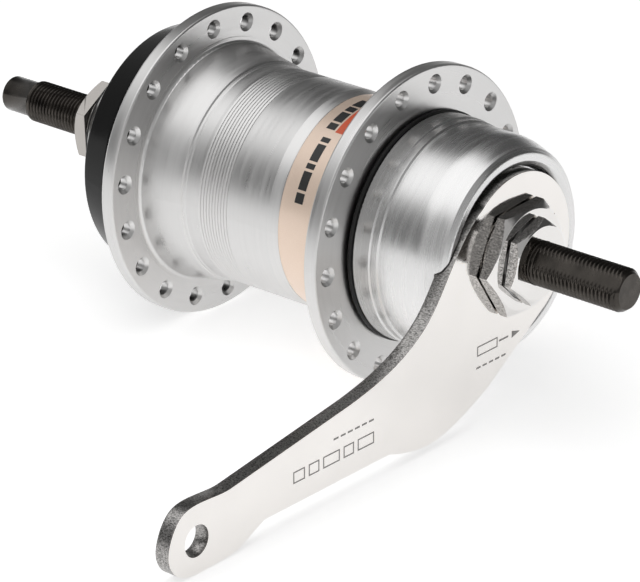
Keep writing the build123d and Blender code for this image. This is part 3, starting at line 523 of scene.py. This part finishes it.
def threaded_axle(material):
    """Axle with real threads, locking flats, push-rod bore and key slot."""
    low_corner, high_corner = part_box("axle")
    start, end = low_corner.y, high_corner.y
    vertices, faces = [], []

    def ring(radius_at, y):
        first = len(vertices)
        for k in range(AXLE_SIDES):
            angle = 2 * pi * k / AXLE_SIDES
            radius = radius_at(angle)
            vertices.append((radius * cos(angle), y, radius * sin(angle)))
        return first

    def bridge(first, second):
        for k in range(AXLE_SIDES):
            after = (k + 1) % AXLE_SIDES
            faces.append((first + k, first + after, second + after, second + k))

    bore_bottom = ring(lambda angle: ROD_BORE, ROD_BORE_END)
    bore_mouth = ring(lambda angle: ROD_BORE, start)
    bridge(bore_bottom, bore_mouth)
    previous = bore_mouth
    for y in axle_stations(start, end):
        current = ring(lambda angle: axle_radius(y, angle, start, end), y)
        bridge(previous, current)
        previous = current
    faces.append(tuple(bore_bottom + k for k in range(AXLE_SIDES)))
    faces.append(tuple(previous + k for k in reversed(range(AXLE_SIDES))))
    piece = mesh_object("threaded_axle", vertices, faces, material, THREAD_SHARP)
    cut(piece, box_mesh("key_slot_cutter", (-KEY_SLOT_REACH, KEY_SLOT_REACH), KEY_SLOT,
                        (-KEY_SLOT_WIDTH / 2, KEY_SLOT_WIDTH / 2)))
    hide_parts("axle")
    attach(piece, "axle")
    return piece


# ------------------------------------------------------------------ printed and stamped marks

def printed_bar(name, angles, line, material):
    """Thin bar of ink that follows the label band round the barrel."""
    start, end = radians(angles[0]), radians(angles[1])
    steps = max(1, round((end - start) / PRINT_STEP))
    vertices, faces = [], []
    for k in range(steps + 1):
        angle = start + (end - start) * k / steps
        for radius in (LABEL_RADIUS + PRINT_LIFT, LABEL_RADIUS + PRINT_THICKNESS):
            for y in line:
                vertices.append((radius * cos(angle), y, radius * sin(angle)))
    for k in range(steps):
        a, b = 4 * k, 4 * (k + 1)
        for first, second in ((0, 1), (1, 3), (3, 2), (2, 0)):
            faces.append((a + first, a + second, b + second, b + first))
    faces.append((0, 2, 3, 1))
    faces.append((4 * steps, 4 * steps + 1, 4 * steps + 3, 4 * steps + 2))
    piece = mesh_object(name, vertices, faces, material)
    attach(piece, "hub_shell")
    return piece


def label_print():
    """Rows of plain dark bars and one red bar in place of lettering."""
    ink = ink_and_painted_shade("dark_ink", grey(0.012), grey(0.03))
    red = ink_and_painted_shade("red_ink", (0.70, 0.09, 0.03, 1), (0.82, 0.15, 0.06, 1))
    for number, angles in enumerate(DARK_BARS):
        printed_bar(f"label_bar_{number + 1}", angles, DARK_BAR_LINE, ink)
    for number, angles in enumerate(SECOND_BARS):
        printed_bar(f"label_second_bar_{number + 1}", angles, SECOND_BAR_LINE, ink)
    printed_bar("label_red_bar", RED_BAR, RED_BAR_LINE, red)


def frame_boxes(x, z):
    """Four strokes of a rectangular outline, as (x range, z range) pairs."""
    stroke = ARM_MARK_STROKE
    return [((x[0], x[0] + stroke), z), ((x[1] - stroke, x[1]), z),
            ((x[0] + stroke, x[1] - stroke), (z[0], z[0] + stroke)),
            ((x[0] + stroke, x[1] - stroke), (z[1] - stroke, z[1]))]


def metres(pair):
    """A pair of millimetre values in metres."""
    return tuple(value * MM for value in pair)


def arm_boxes():
    """Every box of the arm's marks, as (x range, z range) pairs."""
    boxes = []
    for x in TIP_BOXES:
        boxes += frame_boxes(metres(x), metres(TIP_BOX_LINE))
    for start, spacing, length, count, line in DASH_ROWS:
        for k in range(count):
            low = start + spacing * k
            boxes.append((metres((low, low + length)), metres(line)))
    boxes += frame_boxes(*map(metres, SIGN_BOX))
    boxes.append(tuple(map(metres, SIGN_STEM)))
    return boxes


def arm_marks(material):
    """Raised strokes for the outlines, dashes and arrow stamped on the arm, in place of lettering;
    their dark grey is painted shade for the stamped grooves.
    """
    vertices, faces = [], []
    y = (ARM_FACE + ARM_MARK_LIFT, ARM_FACE + ARM_MARK_HEIGHT)
    for x, z in arm_boxes():
        first = len(vertices)
        vertices += [(a, b, c) for a in x for b in y for c in z]
        faces += [tuple(first + corner for corner in face) for face in BOX_FACES]
    first = len(vertices)
    vertices += [(a, b, c) for a, c in map(metres, SIGN_ARROW) for b in y]
    faces += [tuple(first + corner for corner in face) for face in WEDGE_FACES]
    piece = mesh_object("arm_marks", vertices, faces, material)
    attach(piece, "axle")
    return piece


# ------------------------------------------------------------------ studio

def look_from(azimuth, elevation):
    """Unit vector from the aim towards the viewer."""
    return Vector((sin(azimuth) * cos(elevation), -cos(azimuth) * cos(elevation),
                   sin(elevation)))


def camera():
    """Long-lens camera at the product shot's angle."""
    data = bpy.data.cameras.new("camera")
    data.lens = CAMERA_LENS
    data.clip_end = CAMERA_REACH
    made = bpy.data.objects.new("camera", data)
    back = look_from(CAMERA_AZIMUTH, CAMERA_ELEVATION)
    made.location = CAMERA_AIM + CAMERA_DISTANCE * back
    made.rotation_euler = back.to_track_quat("Z", "Y").to_euler()
    bpy.context.scene.collection.objects.link(made)
    bpy.context.scene.camera = made


def patch(tree, direction, centre, full, gone):
    """1 within an angle of a sky direction, falling smoothly to 0 at a wider angle."""
    centre = Vector(centre).normalized()
    facing = add(tree, "ShaderNodeVectorMath", {0: direction, 1: centre},
                 operation="DOT_PRODUCT").outputs["Value"]
    made = add(tree, "ShaderNodeMapRange",
               {0: facing, 1: cos(radians(gone)), 2: cos(radians(full)), 3: 0.0, 4: 1.0},
               interpolation_type="SMOOTHSTEP")
    return made.outputs[0]


def world_light():
    """Light tent: pale walls, one big soft lamp overhead and three dark cards for contrast."""
    world = bpy.data.worlds.new("studio")
    bpy.context.scene.world = world
    world.use_nodes = True
    tree = world.node_tree
    direction = add(tree, "ShaderNodeTexCoord").outputs["Generated"]
    level = grey(WALL_LEVEL)
    for centre, full, gone, tone in SKY_PATCHES:
        level = blend(tree, patch(tree, direction, centre, full, gone), level, grey(tone))
    tree.links.new(level, tree.nodes["Background"].inputs["Color"])


def floor(bottom):
    """Wide pale floor under the hub, lit from below like a product table."""
    material, tree, shader = new_material("pale_floor", Emission_Color=(1, 1, 1, 1),
                                          Emission_Strength=FLOOR_GLOW)
    mottle = noise(tree, 12.0, detail=3.0)
    feed(tree, shader,
         Base_Color=blend(tree, mottle, grey(0.84), grey(0.88)),
         Roughness=ramp(tree, mottle, 0.6, 0.7))
    vertices = [(FLOOR_RADIUS * cos(2 * pi * k / FLOOR_SIDES),
                 FLOOR_RADIUS * sin(2 * pi * k / FLOOR_SIDES), bottom)
                for k in range(FLOOR_SIDES)]
    made = mesh_object("floor", vertices, [tuple(range(FLOOR_SIDES))], material)


def studio(bottom):
    """Camera, light and floor."""
    camera()
    world_light()
    floor(bottom)
    bpy.context.scene.view_settings.view_transform = "Standard"


# ------------------------------------------------------------------ assembly


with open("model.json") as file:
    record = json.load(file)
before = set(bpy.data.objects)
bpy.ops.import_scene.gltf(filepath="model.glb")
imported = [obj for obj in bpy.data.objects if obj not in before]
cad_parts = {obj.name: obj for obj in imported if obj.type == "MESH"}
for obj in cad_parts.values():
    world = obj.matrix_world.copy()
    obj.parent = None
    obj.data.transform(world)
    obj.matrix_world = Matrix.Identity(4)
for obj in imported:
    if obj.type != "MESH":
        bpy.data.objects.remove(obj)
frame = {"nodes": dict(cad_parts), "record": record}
cad_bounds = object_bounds()
materials = all_materials()
for subpart in frame["record"]["subparts"]:
    node = frame["nodes"][subpart["node"]]
    node.data.materials.clear()
    look = NODE_LOOKS.get(subpart["node"], subpart["material_slot"])
    node.data.materials.append(materials[look])

threaded_axle(materials["black_steel"])
label_print()
arm_marks(materials["stamped_mark_painted_shade"])
for name in SOFT_NODES:
    soften(frame["nodes"][name], EDGE_ROUND)

studio(cad_bounds[0].z)
